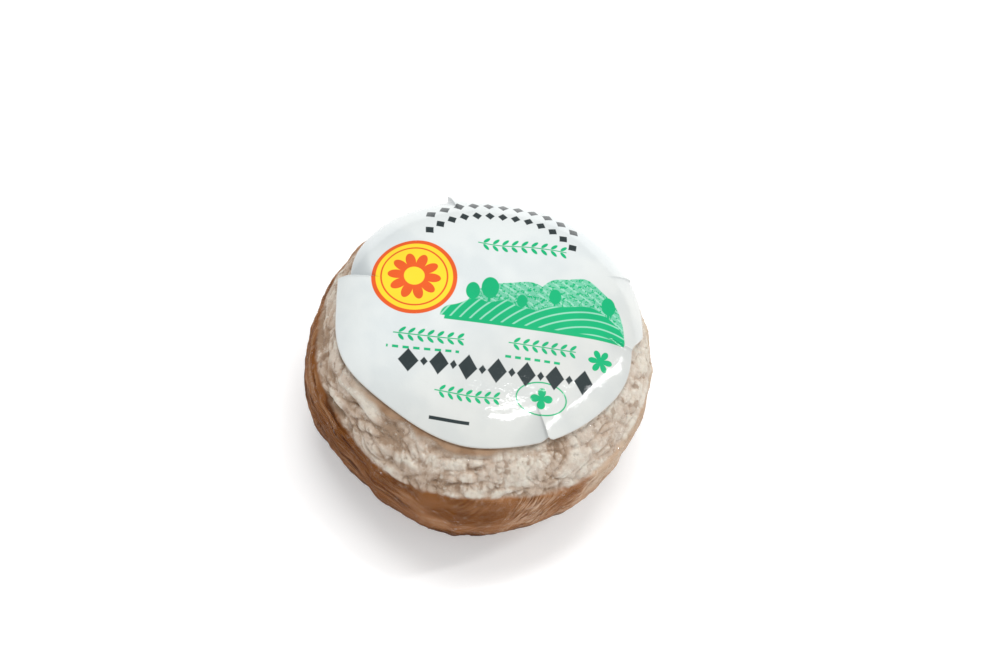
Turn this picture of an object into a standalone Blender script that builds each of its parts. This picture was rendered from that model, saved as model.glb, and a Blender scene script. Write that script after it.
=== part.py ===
"""A small ripened goat cheese sealed in clear film, with a round paper label over its top.

The cheese is a low drum with a rounded shoulder. It rests on its flat base, and its front
faces -Y. The film clings to it, so the cheese in its film is one solid: lumpy rind shows
round the shoulder, and the film spans flat between upright ridges down the side.
The label is a thin paper disc that bends down over the shoulder, further at the back.
"""

import math

import bpy
from mathutils import Vector, noise

# Cheese, in metres
RADIUS = 0.027
HEIGHT = 0.028
WIDEST_AT = 0.016             # height of the widest level
TOP_FLAT = 0.52 * RADIUS      # the shoulder starts to round off here
BASE_FLAT = 0.74 * RADIUS     # the side meets the base here
SHOULDER_POWER = 2.05         # 2 is a plain ellipse
FOOT_POWER = 1.95
CROWN = 0.0004                # how much higher the top stands at its middle

# Soft bulges and dents of the outline: direction in degrees and share of the radius
BULGES = ((20, -0.001), (60, 0.004), (95, -0.034), (122, -0.012), (145, -0.010), (172, -0.008), (205, 0.036),
          (237, -0.014), (250, 0.006), (271, 0.026), (305, 0.002), (335, -0.010))
BULGE_WIDTH = 16

# Rind lumps, in metres
LUMP_DEPTH = 0.0009           # valleys between lumps go this deep
LUMP_ALONG = 0.0046           # size of a lump round the cheese
LUMP_ACROSS = 0.0028          # size of a lump up and down
LUMP_CROWDING = 0.35          # how much smaller and larger than that lumps come out
LUMP_CROWDED_AT = 340         # direction of the smallest lumps, in degrees
LUMPS_FROM = 0.013            # distance from the middle of the top, over the surface
RIND_EDGE = 0.0208            # height of the lumpy band's lower edge
RIND_EDGE_WAVE = 0.0009       # how far that edge swings up and down
RIND_EDGE_WAVES = 5
RIND_EDGE_HIGH_AT = 205       # direction of one of its high places, in degrees

# Film: directions of the ridges that it spans between down the side, in degrees
FILM_RIDGES = (6, 23, 41, 58, 77, 95, 113, 131, 150, 168, 184, 199, 210, 226, 243, 261, 274, 288, 302, 315,
               325, 334, 350)
RIDGE_TURN = 10               # how far a ridge turns toward the front over the cheese's height

# Label, in metres
LABEL_RADIUS = 0.0246
LABEL_BACK = 0.0051           # its middle lies this far behind the middle of the top
LABEL_THICKNESS = 0.0003
LABEL_GAP = 0.0004            # clearance above the highest rind
EDGE_LIFT = 0.0003            # how much its edge springs up
# Folds of the paper: direction from the label's middle in degrees, height and half width in degrees
FOLDS = ((182, 0.0007, 6), (119, 0.0009, 4), (300, 0.0006, 5), (351, 0.0004, 6), (40, 0.0004, 7),
         (80, 0.0004, 7))

# Mesh fineness
CHEESE_SEGMENTS = 112
CHEESE_RING_STEP = 0.00125
TOP_RINGS = 4
LABEL_SEGMENTS = 96
LABEL_RINGS = 9

PROFILE_STEPS = 120


def smooth_step(low, high, value):
    """Rise from 0 at low to 1 at high, with soft ends."""
    share = min(max((value - low) / (high - low), 0.0), 1.0)
    return share * share * (3.0 - 2.0 * share)


def angle_between(a, b):
    """Signed difference of two directions in degrees, within half a turn."""
    return (a - b + 180.0) % 360.0 - 180.0


def outline(theta):
    """Share of the radius in the direction theta, with the soft bulges and dents."""
    degrees = math.degrees(theta)
    return 1.0 + sum(
        amount * math.exp(-((angle_between(degrees, at) / BULGE_WIDTH) ** 2)) for at, amount in BULGES
    )


def profile_points():
    """Half section of the smooth cheese, from the middle of the top to the edge of the base."""
    rim = HEIGHT - CROWN
    points = []
    for step in range(PROFILE_STEPS):
        radius = TOP_FLAT * step / PROFILE_STEPS
        points.append((radius, HEIGHT - CROWN * (radius / TOP_FLAT) ** 2))
    for step in range(PROFILE_STEPS):
        turn = math.pi / 2 * step / PROFILE_STEPS
        out = math.sin(turn) ** (2 / SHOULDER_POWER)
        up = math.cos(turn) ** (2 / SHOULDER_POWER)
        points.append((TOP_FLAT + (RADIUS - TOP_FLAT) * out, WIDEST_AT + (rim - WIDEST_AT) * up))
    for step in range(PROFILE_STEPS + 1):
        turn = math.pi / 2 * step / PROFILE_STEPS
        out = max(math.cos(turn), 0.0) ** (2 / FOOT_POWER)
        down = math.sin(turn) ** (2 / FOOT_POWER)
        points.append((BASE_FLAT + (RADIUS - BASE_FLAT) * out, WIDEST_AT * (1 - down)))
    return points


class Profile:
    """The half section, read by the distance over the surface from the middle of the top."""

    def __init__(self):
        self.points = profile_points()
        self.lengths = [0.0]
        for (r0, z0), (r1, z1) in zip(self.points, self.points[1:]):
            self.lengths.append(self.lengths[-1] + math.hypot(r1 - r0, z1 - z0))
        self.total = self.lengths[-1]

    def at(self, length):
        """Radius and height at a distance over the surface."""
        length = min(max(length, 0.0), self.total)
        low, high = 0, len(self.lengths) - 1
        while high - low > 1:
            middle = (low + high) // 2
            if self.lengths[middle] <= length:
                low = middle
            else:
                high = middle
        share = (length - self.lengths[low]) / (self.lengths[high] - self.lengths[low])
        (r0, z0), (r1, z1) = self.points[low], self.points[high]
        return r0 + (r1 - r0) * share, z0 + (z1 - z0) * share

    def outward(self, length):
        """Direction out of the surface, as radius and height parts."""
        r0, z0 = self.at(length - 0.0003)
        r1, z1 = self.at(length + 0.0003)
        size = math.hypot(r1 - r0, z1 - z0)
        return (z0 - z1) / size, (r1 - r0) / size

    def length_at_radius(self, radius):
        """Distance over the top and shoulder at which the section reaches a radius."""
        low, high = 0.0, self.lengths[2 * PROFILE_STEPS]
        for _ in range(40):
            middle = (low + high) / 2
            if self.at(middle)[0] < radius:
                low = middle
            else:
                high = middle
        return (low + high) / 2


def crowd(theta):
    """Turn a direction so that lumps come out long at the left and small and round at the right."""
    return theta + LUMP_CROWDING * math.sin(theta - math.radians(LUMP_CROWDED_AT))


def lump_depth(theta, length):
    """Depth below the tops of the rind's lumps: rolling swells cut by winding valleys."""
    turned = crowd(theta)
    spot = Vector((
        math.cos(turned) * RADIUS / LUMP_ALONG,
        math.sin(turned) * RADIUS / LUMP_ALONG,
        length / LUMP_ACROSS,
    ))
    bend = Vector((noise.noise(spot * 0.8), noise.noise(spot * 0.8 + Vector((5.0, 1.0, 3.0))), 0.0))
    spot += 0.45 * bend
    swell = 0.5 + 0.8 * noise.noise(spot * 0.6)
    near, second = noise.voronoi(spot * 0.95)[0][:2]
    meet = (1.0 - min((second - near) / 0.30, 1.0)) ** 1.2
    winding = (1 - min(abs(noise.noise(spot * 0.9 + Vector((2.0, 9.0, 4.0)))) / 0.22, 1.0)) ** 1.4
    valley = max(0.75 * meet * (0.4 + swell), winding)
    return LUMP_DEPTH * min(0.35 * swell + 0.25 * near + 0.5 * valley, 1.0)


def side_share(theta, length, height):
    """Share from 0 on the lumpy band to 1 on the side below it."""
    if length < LUMPS_FROM:
        return 0.0
    turned = theta - math.radians(RIND_EDGE_HIGH_AT)
    edge = RIND_EDGE + RIND_EDGE_WAVE * math.cos(RIND_EDGE_WAVES * turned)
    return smooth_step(edge + 0.0006, edge - 0.0006, height)


def span_depth(theta, height):
    """Depth of the film where it spans flat between two ridges, below the round it is stretched over."""
    turn = RIDGE_TURN * (WIDEST_AT - height) / HEIGHT * math.cos(theta)
    degrees = (math.degrees(theta) + turn) % 360.0
    before = max([at for at in FILM_RIDGES if at <= degrees], default=FILM_RIDGES[-1] - 360)
    after = min([at for at in FILM_RIDGES if at > degrees], default=FILM_RIDGES[0] + 360)
    half = math.radians(after - before) / 2
    away = math.radians(degrees - before) - half
    return RADIUS * (1.0 - math.cos(half) / math.cos(away))


def relief_depth(profile, theta, length):
    """How far the surface lies inside the smooth cheese."""
    height = profile.at(length)[1]
    side = side_share(theta, length, height)
    lumps = smooth_step(LUMPS_FROM, LUMPS_FROM + 0.004, length) * (1 - side)
    foot = smooth_step(0.0, 0.003, height)
    return lumps * lump_depth(theta, length) + side * foot * span_depth(theta, height)


def cheese_point(profile, theta, length):
    """A point of the cheese's surface."""
    radius, height = profile.at(length)
    out, up = profile.outward(length)
    depth = relief_depth(profile, theta, length)
    reach = (radius - out * depth) * outline(theta)
    return Vector((reach * math.cos(theta), reach * math.sin(theta), height - up * depth))


def fold_height(phi, share):
    """Height of the paper above its rest, in the direction phi and at a share of its radius."""
    degrees = math.degrees(phi)
    edge = smooth_step(0.55, 1.0, share)
    folds = sum(
        height * math.exp(-((angle_between(degrees, at) / width) ** 2)) for at, height, width in FOLDS
    )
    wave = 0.5 + 0.5 * math.sin(5 * phi + 1.0)
    return EDGE_LIFT * share ** 6 * wave + folds * edge


def label_point(profile, phi, reach, above):
    """A point of the label: reach is measured over the paper from its middle."""
    direction = Vector((math.cos(phi), math.sin(phi)))
    centre = Vector((0.0, LABEL_BACK))
    here, walked, step = centre.copy(), 0.0, 0.0003
    height = profile.at(profile.length_at_radius(centre.length))[1]
    while walked < reach:
        ahead = here + direction * step
        next_height = profile.at(profile.length_at_radius(min(ahead.length, RADIUS * 0.9999)))[1]
        stride = math.hypot(step, next_height - height)
        share = min((reach - walked) / stride, 1.0)
        here = here + direction * step * share
        height += (next_height - height) * share
        walked += stride * share
        if share < 1.0:
            break
    theta = math.atan2(here.y, here.x)
    radius = here.length
    out, up = profile.outward(profile.length_at_radius(radius))
    spread = outline(theta)
    raised = LABEL_GAP + above + fold_height(phi, reach / LABEL_RADIUS)
    full = (radius + out * raised) * spread
    return Vector((full * math.cos(theta), full * math.sin(theta), height + up * raised))


def stack_rings(rings, first, last):
    """Vertices and faces of a body made of rings, closed by a point at each end."""
    count = len(rings[0])
    points = [first]
    for ring in rings:
        points.extend(ring)
    points.append(last)
    faces = []
    for i in range(count):
        j = (i + 1) % count
        faces.append((0, 1 + i, 1 + j))
        for ring in range(len(rings) - 1):
            a = 1 + ring * count
            b = a + count
            faces.append((a + i, b + i, b + j))
            faces.append((a + i, b + j, a + j))
        end = 1 + (len(rings) - 1) * count
        faces.append((end + i, len(points) - 1, end + j))
    return points, faces


def cheese_body(profile):
    """The cheese in its film."""
    edge = profile.lengths[PROFILE_STEPS]
    lengths = [edge * (ring + 1) / TOP_RINGS for ring in range(TOP_RINGS)]
    side_rings = round((profile.total - edge) / CHEESE_RING_STEP)
    lengths += [edge + (profile.total - edge) * (ring + 1) / side_rings for ring in range(side_rings)]
    rings = []
    for length in lengths:
        rings.append([
            cheese_point(profile, 2 * math.pi * i / CHEESE_SEGMENTS, length) for i in range(CHEESE_SEGMENTS)
        ])
    return stack_rings(rings, Vector((0, 0, HEIGHT)), Vector((0, 0, 0)))


def label_body(profile):
    """The paper label: its upper side out to the edge, then its under side back to the middle."""
    upper, under = [], []
    for ring in range(1, LABEL_RINGS + 1):
        reach = LABEL_RADIUS * ring / LABEL_RINGS
        for rows, above in ((upper, LABEL_THICKNESS), (under, 0.0)):
            rows.append([
                label_point(profile, 2 * math.pi * i / LABEL_SEGMENTS, reach, above)
                for i in range(LABEL_SEGMENTS)
            ])
    top = label_point(profile, 0.0, 0.0, LABEL_THICKNESS)
    bottom = label_point(profile, 0.0, 0.0, 0.0)
    return stack_rings(upper + under[::-1], top, bottom)


def add_object(name, body, offset, colour, roughness):
    """Make a mesh object with its own material."""
    points, faces = body
    mesh = bpy.data.meshes.new(name)
    mesh.from_pydata([point - offset for point in points], [], faces)
    mesh.update()
    material = bpy.data.materials.new(name)
    material.use_nodes = True
    shader = material.node_tree.nodes["Principled BSDF"]
    shader.inputs["Base Color"].default_value = (*colour, 1.0)
    shader.inputs["Roughness"].default_value = roughness
    mesh.materials.append(material)
    thing = bpy.data.objects.new(name, mesh)
    bpy.context.scene.collection.objects.link(thing)
    return thing


def box_centre(points):
    """Middle of the box round some points, at floor level."""
    xs = [point.x for point in points]
    ys = [point.y for point in points]
    return Vector(((min(xs) + max(xs)) / 2, (min(ys) + max(ys)) / 2, 0.0))


def main():
    for thing in list(bpy.data.objects):
        bpy.data.objects.remove(thing)
    profile = Profile()
    cheese = cheese_body(profile)
    label = label_body(profile)
    offset = box_centre(cheese[0] + label[0])
    add_object("wrapped_cheese", cheese, offset, (0.55, 0.45, 0.36), 0.4)
    add_object("label", label, offset, (0.80, 0.82, 0.82), 0.3)


main()
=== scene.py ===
"""A small ripened goat cheese in clear film, with a glossy paper label bent over its top.

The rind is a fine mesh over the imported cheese, the film is a clear creased skin just above
it, and the label is a thin sheet whose print is made of plain fields and simple shapes.
"""

import math
from functools import partial, reduce

import bpy
import numpy as np
from mathutils import Matrix, Vector
from mathutils.noise import noise, voronoi

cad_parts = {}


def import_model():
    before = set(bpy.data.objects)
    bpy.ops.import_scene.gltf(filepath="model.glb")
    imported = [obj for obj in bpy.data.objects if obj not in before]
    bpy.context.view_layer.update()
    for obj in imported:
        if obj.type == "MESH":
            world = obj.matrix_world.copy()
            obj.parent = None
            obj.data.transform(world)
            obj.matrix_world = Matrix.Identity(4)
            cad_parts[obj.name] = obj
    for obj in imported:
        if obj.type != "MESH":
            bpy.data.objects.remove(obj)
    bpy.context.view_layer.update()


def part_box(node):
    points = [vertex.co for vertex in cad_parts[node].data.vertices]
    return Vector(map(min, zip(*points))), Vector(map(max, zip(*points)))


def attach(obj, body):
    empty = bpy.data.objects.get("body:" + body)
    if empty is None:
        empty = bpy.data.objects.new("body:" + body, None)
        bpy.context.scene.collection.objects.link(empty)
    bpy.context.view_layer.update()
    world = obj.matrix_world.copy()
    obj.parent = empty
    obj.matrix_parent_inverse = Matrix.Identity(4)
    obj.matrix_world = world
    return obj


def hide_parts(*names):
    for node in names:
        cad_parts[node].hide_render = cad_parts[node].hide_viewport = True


# Cheese, in metres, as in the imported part
RADIUS = 0.027
HEIGHT = 0.028
WIDEST_AT = 0.016
TOP_FLAT = 0.52 * RADIUS
BASE_FLAT = 0.74 * RADIUS
SHOULDER_POWER = 2.05
FOOT_POWER = 1.95
CROWN = 0.0004
# Bulges and dents of the outline: direction in degrees, and share of the radius
BULGES = (
    (20, -0.001), (60, 0.004), (95, -0.034), (122, -0.012), (145, -0.010), (172, -0.008),
    (205, 0.036), (237, -0.014), (250, 0.006), (271, 0.026), (305, 0.002), (335, -0.010),
)
BULGE_WIDTH = 16

# Lumps of the rind, in metres
LUMP_DEPTH = 0.0009
LUMP_ALONG = 0.0046
LUMP_ACROSS = 0.0028
LUMP_CROWDING = 0.35
LUMPS_FROM = 0.013  # how far over the top they begin
LUMPS_GROW = 0.004
LONG_LUMP = (0.0085, 0.0021)  # run and width of a long valley
LONG_SHARE = 0.60
WRINKLE_DEPTH = 0.00020
CRACK_DEPTH = 0.00006
CRUMB_DEPTH = 0.00010
RIND_EDGE = 0.0208  # height of the lumpy band's lower edge
RIND_EDGE_WAVE = 0.0009  # how far that edge swings up and down
RIND_EDGE_WAVES = 5
RIND_EDGE_SOFT = 0.0006
RIND_EDGE_DROP = 0.0022  # how much lower it is at LOW_EDGE_AT
BARE_WIDTH = (0.0012, 0.0022)  # where the bare strip beside the label fades
BARE_WAVE = 0.0011
FOOT = 0.003  # the side's relief fades below this
RIND_BASE = 0.00005  # above the film's base
RIND_TOP = 0.0001  # below the film's top

# Directions in degrees
FRONT = 270
BROWN_AT = 228  # where the side is brownest and darkest, partly by painted shade
COBBLED_AT = 275  # where the rind is most cobbled
UPRIGHT_AT = 325  # where its wrinkles stand upright
LONG_LUMPS_AT = 198  # where its valleys are longest
LUMP_CROWDED_AT = 340  # where its lumps are smallest
LOW_EDGE_AT = 358
RIND_EDGE_HIGH_AT = 205
BARE_AT = 256  # middle of the bare strip
PALEST_AT = 356  # where the rind's hollows are palest, by painted light
STEEPEST_AT = 291  # where the film's streaks climb most
DENSEST_AT = 303  # where its fine streaks are densest
LINED_AT = 205  # where its long dark ones are densest

# Label, in metres
LABEL_RADIUS = 0.0246
LABEL_BACK = 0.0051
LABEL_GAP = 0.00008
LABEL_THICKNESS = 0.00014
LABEL_REACH = 0.0237  # level distance from its middle to its edge
LABEL_BED = 0.00016  # the cheese is this much lower under it
EDGE_LIFT = 0.00006  # how far its edge waves
RIPPLE = 0.00012
RIPPLE_RUN = 7.0  # in millimetres
# Folds: direction from the label's middle in degrees, height, and run in degrees of the gentle side
FOLDS = (
    (182, 0.0009, 14), (119, 0.0010, -9), (300, 0.00045, 9),
    (352, 0.00025, 18), (27, 0.0003, 9), (75, 0.0003, -12),
)
# Where the edge is drawn in beside a fold: direction, run in degrees, share of the radius, and
# degrees over which it comes back
EDGE_STEPS = (
    (182, -36, 0.070, 0.6), (300, -4, 0.020, 1.0), (352, -24, 0.078, 10),
    (118, 9, 0.020, 0.8), (27, 9, 0.010, 0.8),
)

# Film, in metres
FILM_GAP = 0.00006  # clearance above the rind's peaks
FILM_FOLD = 0.00014  # height of its folds
CRUMPLE = 0.00017  # how far its side swings in and out
CRUMPLE_RUN = 2.6  # in millimetres
# Directions of its upright ridges, and how far one turns to the front on its way down, in degrees
FILM_RIDGES = (
    6, 23, 41, 58, 77, 95, 113, 131, 150, 168, 184, 199,
    210, 226, 243, 261, 274, 288, 302, 315, 325, 334, 350,
)
RIDGE_TURN = 10
# Families of folds: how much lower one runs at the front, width and run of a cell, steps in a
# cell, and share of the side that has them
FOLD_FAMILIES = ((0.0095, 0.0024, 0.013, 2.6, 0.10), (0.022, 0.0020, 0.009, 2.2, -0.08))
# Streaks: how steeply they climb where they climb most, and over how many degrees
STEEPEST = 2.0
STEEP_OVER = 20
# Run and width of the streaks, of the dark grain among them, and of the creases over the rind
FINE_STREAK = (0.0020, 0.0005)
LONG_STREAK = (0.0095, 0.0009)
GRAIN_STREAK = (0.0034, 0.0005)
CREASE = (0.0024, 0.0008)
# Patches of the side's tone: how much lower one runs at the front, width and run
BROAD_TONE = (0.0095, 0.0045, 0.008)
NARROW_TONE = (0.0095, 0.0014, 0.011)

# Colours of the lumpy rind
CREAM = (0.635, 0.585, 0.505)
DULL_CREAM = (0.54, 0.46, 0.385)
SLOPE = (0.48, 0.38, 0.30)
HOLLOW = (0.32, 0.225, 0.155)
PALE_SPECK = (0.77, 0.735, 0.66)
DARK_SPECK = (0.36, 0.26, 0.19)
CRINKLE = (0.80, 0.75, 0.68)
CREVICE = (0.15, 0.09, 0.055)
PIT = (0.24, 0.155, 0.10)
CREASED = (0.25, 0.17, 0.12)
BARE_RIND = ((0.36, 0.235, 0.15), (0.28, 0.17, 0.10))

# Colours of the side, and tints that darken it
SIDE_DARK = (0.175, 0.058, 0.010)
SIDE_BROWN = (0.375, 0.175, 0.078)
SIDE_TAN = (0.55, 0.445, 0.34)
CRUST = (0.70, 0.60, 0.49)
# Pale streaks: partly the film's whitened creases, partly painted highlights on them
PALE_STREAK = ((0.40, 0.235, 0.125), (0.72, 0.56, 0.43))
GRAIN_TINT = (0.50, 0.44, 0.40)
MOTTLE_TINT = (0.60, 0.52, 0.46)
# Darkening of the streaks: partly the rind's own, partly painted shade in the film's creases
STREAK_TINT = (0.36, 0.29, 0.24)
# Painted shade toward the side's foot
FOOT_PAINTED_SHADE = (0.36, 0.30, 0.26)

# Colours of the paper and the print, with the paper in painted shade toward its front right, and tints
# of its clouds and of the painted shade in the corners at its folds
WHITE_PAPER = (0.69, 0.725, 0.72)
# The paper in painted shade, toward the label's front right
PAPER_IN_PAINTED_SHADE = (0.632, 0.645, 0.622)
CUT_PAPER = (0.70, 0.60, 0.50)
GREEN = (0.008, 0.43, 0.175)
FURROW_GREEN = (0.17, 0.55, 0.36)
PALE_GREEN = (0.31, 0.65, 0.49)
YELLOW = (0.90, 0.66, 0.035)
ORANGE = (0.76, 0.11, 0.022)
DARK = (0.030, 0.042, 0.044)
CLOUD_TINT = (0.88, 0.90, 0.92)
# Painted shade in the corners beside the label's folds
FOLD_PAINTED_SHADE = (0.62, 0.64, 0.66)
WHITE = (1.0, 1.0, 1.0)

# Heights of fine bumps, in metres
GRAIN_BUMP = 0.00025
RIND_FOLD_BUMP = 0.00008
FILM_BUMP = 0.0002
FILM_FOLD_BUMP = 0.00016
PAPER_BUMP = 0.0004
COAT_BUMP = 0.0003

# Print, in millimetres on the flat paper
PRINT_TURN = 5.0  # degrees
EDGE_SOFT = 0.09
# A badge: its field, the edges of a thin ring and its heart as shares of the radius, and a flower
BADGE_AT = (-12.6, 1.6)
BADGE_RADIUS = 6.6
BADGE_FIELD = 0.90
BADGE_LINE = (0.79, 0.75)
BADGE_HEART = 0.24
BADGE_FLOWER = (10, BADGE_RADIUS * 0.34, BADGE_RADIUS * 0.62)
# Hills: place, half width, height, and closeness of the waves along the top
FAR_HILLS = ((4.0, -4.6, 9.0, 7.4, 0.9), (12.5, -4.6, 8.0, 9.4, 1.1))
NEAR_HILLS = ((0.5, -4.6, 8.4, 3.6, 1.3), (13.0, -4.6, 7.6, 4.6, 0.8))
PLOUGHED_FROM = (16.0, -18.0)
# Trees: place and size
TREES = ((-3.4, -1.6, 1.5), (-0.8, -1.1, 1.9), (17.6, -1.0, 1.6), (9.2, -0.6, 1.3), (4.2, -1.9, 1.1))
# Sprigs: place, pairs of leaves to each side of the middle one, and size of a leaf
SPRIGS = ((-9.0, -8.3, 3, 0.95), (8.0, -7.8, 3, 0.95), (-2.5, -17.0, 3, 0.9), (3.4, 9.2, 4, 1.0))
# Flowers: place, petals and two radii; an oval ring goes round the first
FLOWERS = ((8.6, -16.2, 4, 0.5, 1.7), (17.0, -8.6, 6, 0.6, 1.9))
FLOWER_RING = ((3.9, 2.7), (3.68, 2.48))
# Bars: place, half length and half width
GROUND = ((6.7, -4.85), 13.9, 0.33)
RULE = ((-4.6, -21.2), 3.0, 0.26)
DASHED = (((-9.6, -10.5), 5.2, 0.22), ((6.8, -10.1), 4.4, 0.22))
DASH_PITCH = 1.5
DASH_HALF = 0.45
# A level row of large and small lozenges
ROW_AT = (1.6, -12.6)
ROW_PITCH = 4.4
ROW_HALF = 14.8
LARGE_LOZENGE = (1.45, 2.0)
SMALL_LOZENGE = (0.55, 0.75)
# Arcs of lozenges: radius, how many to each side of the middle one, pitch, half width and height
ARCS = ((18.6, 5, 2.5, 0.95, 1.15), (15.4, 6, 2.1, 0.8, 0.95))

# Floor
FLOOR_HALF = 3.0
FLOOR_DROP = 0.0001
FLOOR_COLOUR = (0.90, 0.90, 0.90)
FLOOR_GLOW = 0.22

# Soft lights: name, place, size and power
LIGHTS = (("key", (-0.10, 0.15, 0.70), 0.25, 1.75), ("side", (0.40, -0.45, 0.38), 0.30, 0.5))
# Rows of small lights that the label mirrors as its glare: first and last place, and how many
GLINT_ROWS = (
    ((0.04, 0.205, 0.69), (0.14, 0.205, 0.68), 6),
    ((0.32, 0.13, 0.64), (0.60, 0.29, 0.39), 9),
)
GLINT_SIZE = 0.036
GLINT_POWER = 0.11
# Brightness of the surroundings: as light, as mirrored by gloss, and as seen past the floor
WORLD_LIGHT = 0.64
WORLD_REFLECTED = 0.12
WORLD_SEEN = 0.80

# Camera: degrees and metres, and where the cheese's middle stands in the picture
ELEVATION = 64.0
ROLL = 12.0
DISTANCE = 0.300
PIXELS_PER_METRE = 6356.0
PICTURE = (1000, 667)
MIDDLE_AT = (480.1, 363.9)
SENSOR = 36.0  # in millimetres

# Mesh fineness
CHEESE_SEGMENTS = 704
RINGS_FROM = 0.0188  # the label hides the rest
HIDDEN_RINGS = (0.2, 0.4, 0.6, 0.75, 0.85, 0.92, 0.97)
BAND_RING_STEP = 0.00020
SIDE_RING_STEP = 0.00031
LABEL_SEGMENTS = 400
LABEL_RINGS = 90
FOLD_LINES = (-0.6, -0.3, -0.05, 0.05, 0.3, 0.6)
WALK_STEP = 0.0002
PROFILE_STEPS = 400


def ramp(low, high, value):
    """From 0 at low to 1 at high, with soft ends."""
    share = min(max((value - low) / (high - low), 0), 1)
    return share * share * (3 - 2 * share)


def degrees_past(theta, at):
    """How many degrees a direction lies past one given in degrees, within half a turn."""
    return (math.degrees(theta) - at + 180) % 360 - 180


def facing(theta, at):
    """How much a direction faces one given in degrees, from 1, the same, to -1, away from it."""
    return math.cos(theta - math.radians(at))


def round_spot(theta, run, third):
    """A place in noise that goes round the cheese, a cell to a run."""
    return Vector((math.cos(theta) * RADIUS / run, math.sin(theta) * RADIUS / run, third))


def set_down(theta, reach, height, shift):
    """A point in the part's frame."""
    return reach * math.cos(theta) + shift.x, reach * math.sin(theta) + shift.y, height


def outline(theta):
    """Share of the radius in the direction theta, with the soft bulges and dents."""
    return 1 + sum(
        amount * math.exp(-((degrees_past(theta, at) / BULGE_WIDTH) ** 2)) for at, amount in BULGES
    )


class Section:
    """Half section of the smooth cheese, read by distance over the surface from the top's middle."""

    def __init__(self):
        share = np.linspace(0, 1, PROFILE_STEPS, endpoint=False)
        turn = math.pi / 2 * share
        rim = HEIGHT - CROWN
        radius = [
            TOP_FLAT * share,
            TOP_FLAT + (RADIUS - TOP_FLAT) * np.sin(turn) ** (2 / SHOULDER_POWER),
            BASE_FLAT + (RADIUS - BASE_FLAT) * np.cos(turn) ** (2 / FOOT_POWER),
            [BASE_FLAT],
        ]
        height = [
            HEIGHT - CROWN * share ** 2,
            WIDEST_AT + (rim - WIDEST_AT) * np.cos(turn) ** (2 / SHOULDER_POWER),
            WIDEST_AT * (1 - np.sin(turn) ** (2 / FOOT_POWER)),
            [0],
        ]
        self.radius = np.concatenate(radius)
        self.height = np.concatenate(height)
        steps = np.hypot(np.diff(self.radius), np.diff(self.height))
        self.length = np.concatenate([[0], np.cumsum(steps)])
        self.total = float(self.length[-1])

    def at(self, length):
        """Radius and height at a distance over the surface."""
        return [float(np.interp(length, self.length, line)) for line in (self.radius, self.height)]

    def outward(self, length):
        """Direction out of the surface, as radius and height parts."""
        r0, z0 = self.at(length - 0.0003)
        r1, z1 = self.at(length + 0.0003)
        size = math.hypot(r1 - r0, z1 - z0)
        return (z0 - z1) / size, (r1 - r0) / size

    def length_at_height(self, height):
        """Distance over the surface at which the section comes down to a height."""
        return float(np.interp(-height, -self.height, self.length))

    def length_at_radius(self, radius):
        """Distance over the top and shoulder at which the section reaches a radius."""
        upper = 2 * PROFILE_STEPS
        return float(np.interp(radius, self.radius[:upper], self.length[:upper]))


def crowd(theta):
    """Turn a direction so that lumps come out long at the left and small and round at the right."""
    return theta + LUMP_CROWDING * math.sin(theta - math.radians(LUMP_CROWDED_AT))


def lump_depth(theta, length):
    """Depth below the tops of the rind's lumps: rolling swells cut by winding valleys."""
    turned = crowd(theta)
    spot = round_spot(turned, LUMP_ALONG, length / LUMP_ACROSS)
    bend = Vector((noise(spot * 0.8), noise(spot * 0.8 + Vector((5, 1, 3))), 0))
    spot += 0.45 * bend
    swell = 0.5 + 0.8 * noise(spot * 0.6)
    near, second = voronoi(spot * 0.95)[0][:2]
    meet = (1 - min((second - near) / 0.3, 1)) ** 1.2
    winding = (1 - min(abs(noise(spot * 0.9 + Vector((2, 9, 4)))) / 0.22, 1)) ** 1.4
    valley = max(0.75 * meet * (0.4 + swell), winding)
    return LUMP_DEPTH * min(0.35 * swell + 0.25 * near + 0.5 * valley, 1)


def side_share(theta, length, height):
    """Share from 0 on the lumpy band to 1 on the side below it."""
    if length < LUMPS_FROM:
        return 0
    turned = theta - math.radians(RIND_EDGE_HIGH_AT)
    edge = RIND_EDGE + RIND_EDGE_WAVE * math.cos(RIND_EDGE_WAVES * turned)
    edge -= RIND_EDGE_DROP * ramp(0.7, 1, facing(theta, LOW_EDGE_AT))
    return ramp(edge + RIND_EDGE_SOFT, edge - RIND_EDGE_SOFT, height)


def span_depth(theta, height):
    """Depth of the film where it spans flat between two ridges, below the round that it covers."""
    turn = RIDGE_TURN * (WIDEST_AT - height) / HEIGHT * math.cos(theta)
    degrees = (math.degrees(theta) + turn) % 360
    before = max([at for at in FILM_RIDGES if at <= degrees], default=FILM_RIDGES[-1] - 360)
    after = min([at for at in FILM_RIDGES if at > degrees], default=FILM_RIDGES[0] + 360)
    half = math.radians(after - before) / 2
    away = math.radians(degrees - before) - half
    return RADIUS * (1 - math.cos(half) / math.cos(away))


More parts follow.
